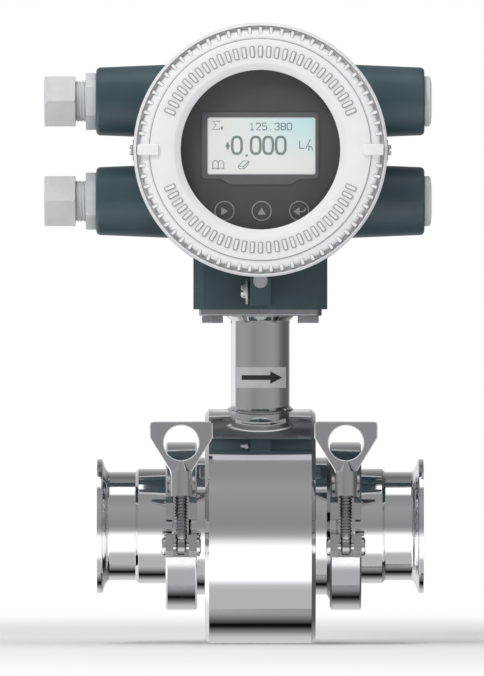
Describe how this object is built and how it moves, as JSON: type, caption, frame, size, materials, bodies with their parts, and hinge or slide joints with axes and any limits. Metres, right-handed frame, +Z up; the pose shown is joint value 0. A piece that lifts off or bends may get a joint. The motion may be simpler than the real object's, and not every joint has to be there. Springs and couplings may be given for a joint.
{
  "type": "electromagnetic flow meter",
  "caption": "Hygienic inline flow meter: clamped pipe ends, a round barrel, a neck and a round converter with a ribbed window cover, display and cable glands.",
  "frame": {"origin": "on the pipe's axis, in the middle of the barrel", "axes": "+X along the pipe with the flow, +Z up the neck, the display faces -Y"},
  "size_m": [0.1863, 0.1603, 0.2972],
  "materials": {
    "polished_steel": "mirror-polished stainless steel",
    "satin_steel": "satin stainless steel",
    "slate_paint": "fine-textured satin powder coat",
    "cover_silver": "satin silver-white paint",
    "clear_glass": "clear flat glass",
    "dark_face": "matt dark film",
    "grey_frame": "matt grey",
    "display": "smooth display surface",
    "circuit_board": "green solder mask",
    "terminal_plastic": "matt black moulding",
    "gland_plastic": "light grey polyamide",
    "seal_rubber": "matt black rubber",
    "gasket_rubber": "white food-grade rubber",
    "liner_plastic": "smooth white fluoroplastic",
    "copper_winding": "enamelled copper wire",
    "iron": "soft iron",
    "label_film": "smooth silver-grey film",
    "cable_sheath": "matt sheath"
  },
  "bodies": {
    "meter": {"adapter_left": "polished_steel", "adapter_right": "polished_steel", "barrel_shell": "polished_steel", "blanking_plug_lower": "gland_plastic", "blanking_plug_upper": "gland_plastic", "boss_plug": "grey_frame", "clamp_gasket_left": "gasket_rubber", "clamp_gasket_right": "gasket_rubber", "clamp_lower_left": "polished_steel", "clamp_lower_right": "polished_steel", "clamp_upper_left": "polished_steel", "clamp_upper_right": "polished_steel", "coil_bottom": "copper_winding", "coil_top": "copper_winding", "core_bottom": "iron", "core_top": "iron", "display_board": "circuit_board", "display_frame": "grey_frame", "display_panel": "display", "earth_screw": "satin_steel", "earth_washer": "satin_steel", "electrode_back": "satin_steel", "electrode_front": "satin_steel", "end_plate_left": "polished_steel", "end_plate_right": "polished_steel", "face_plate": "dark_face", "flange_bolts": "satin_steel", "flow_arrow_label": "label_film", "gland_body_lower": "gland_plastic", "gland_body_upper": "gland_plastic", "gland_nut_lower": "gland_plastic", "gland_nut_upper": "gland_plastic", "gland_seal_lower": "seal_rubber", "gland_seal_upper": "seal_rubber", "hinge_pin_left": "satin_steel", "hinge_pin_right": "satin_steel", "housing": "slate_paint", "lead_bundle": "cable_sheath", "liner": "liner_plastic", "lock_screws": "satin_steel", "magnetic_yoke": "iron", "main_board": "circuit_board", "measuring_tube": "polished_steel", "neck_flange": "satin_steel", "neck_seal": "seal_rubber", "neck_tube": "polished_steel", "pivot_pin_left": "satin_steel", "pivot_pin_right": "satin_steel", "terminal_block": "terminal_plastic"},
    "swivel_bolt_left": {"swivel_bolt_left": "satin_steel"},
    "wing_nut_left": {"wing_nut_left": "polished_steel"},
    "swivel_bolt_right": {"swivel_bolt_right": "satin_steel"},
    "wing_nut_right": {"wing_nut_right": "polished_steel"},
    "front_seal": {"front_o_ring": "seal_rubber"},
    "front_cover": {"front_cover": "cover_silver", "window_glass": "clear_glass"},
    "rear_seal": {"rear_o_ring": "seal_rubber"},
    "rear_cover": {"rear_cover": "cover_silver"}
  },
  "joints": [
    {"name": "swivel_bolt_left_swing", "type": "hinge", "parent": "meter", "child": "swivel_bolt_left", "pos_m": [-0.0379, -0.0515, -0.0095], "axis": [1, 0, 0], "range_deg": [0, 180]},
    {"name": "wing_nut_left_turn", "type": "hinge", "parent": "swivel_bolt_left", "child": "wing_nut_left", "pos_m": [-0.0379, -0.0515, 0.02], "axis": [0, 0, 1], "continuous": true},
    {"name": "swivel_bolt_right_swing", "type": "hinge", "parent": "meter", "child": "swivel_bolt_right", "pos_m": [0.04095, -0.0515, -0.0095], "axis": [1, 0, 0], "range_deg": [0, 180]},
    {"name": "wing_nut_right_turn", "type": "hinge", "parent": "swivel_bolt_right", "child": "wing_nut_right", "pos_m": [0.04095, -0.0515, 0.02], "axis": [0, 0, 1], "continuous": true},
    {"name": "front_cover_travel", "type": "slide", "parent": "meter", "child": "front_seal", "axis": [0, -1, 0], "range_m": [0, 0.01]},
    {"name": "front_cover_turn", "type": "hinge", "parent": "front_seal", "child": "front_cover", "pos_m": [0, -0.067, 0.1803], "axis": [0, -1, 0], "range_deg": [0, 1800]},
    {"name": "rear_cover_travel", "type": "slide", "parent": "meter", "child": "rear_seal", "axis": [0, 1, 0], "range_m": [0, 0.01]},
    {"name": "rear_cover_turn", "type": "hinge", "parent": "rear_seal", "child": "rear_cover", "pos_m": [0, 0.0583, 0.1803], "axis": [0, 1, 0], "range_deg": [0, 1800]}
  ],
  "couplings": [
    {"joint": "front_cover_travel", "follows": "front_cover_turn", "m_per_rad": 0.000318},
    {"joint": "rear_cover_travel", "follows": "rear_cover_turn", "m_per_rad": 0.000318}
  ]
}
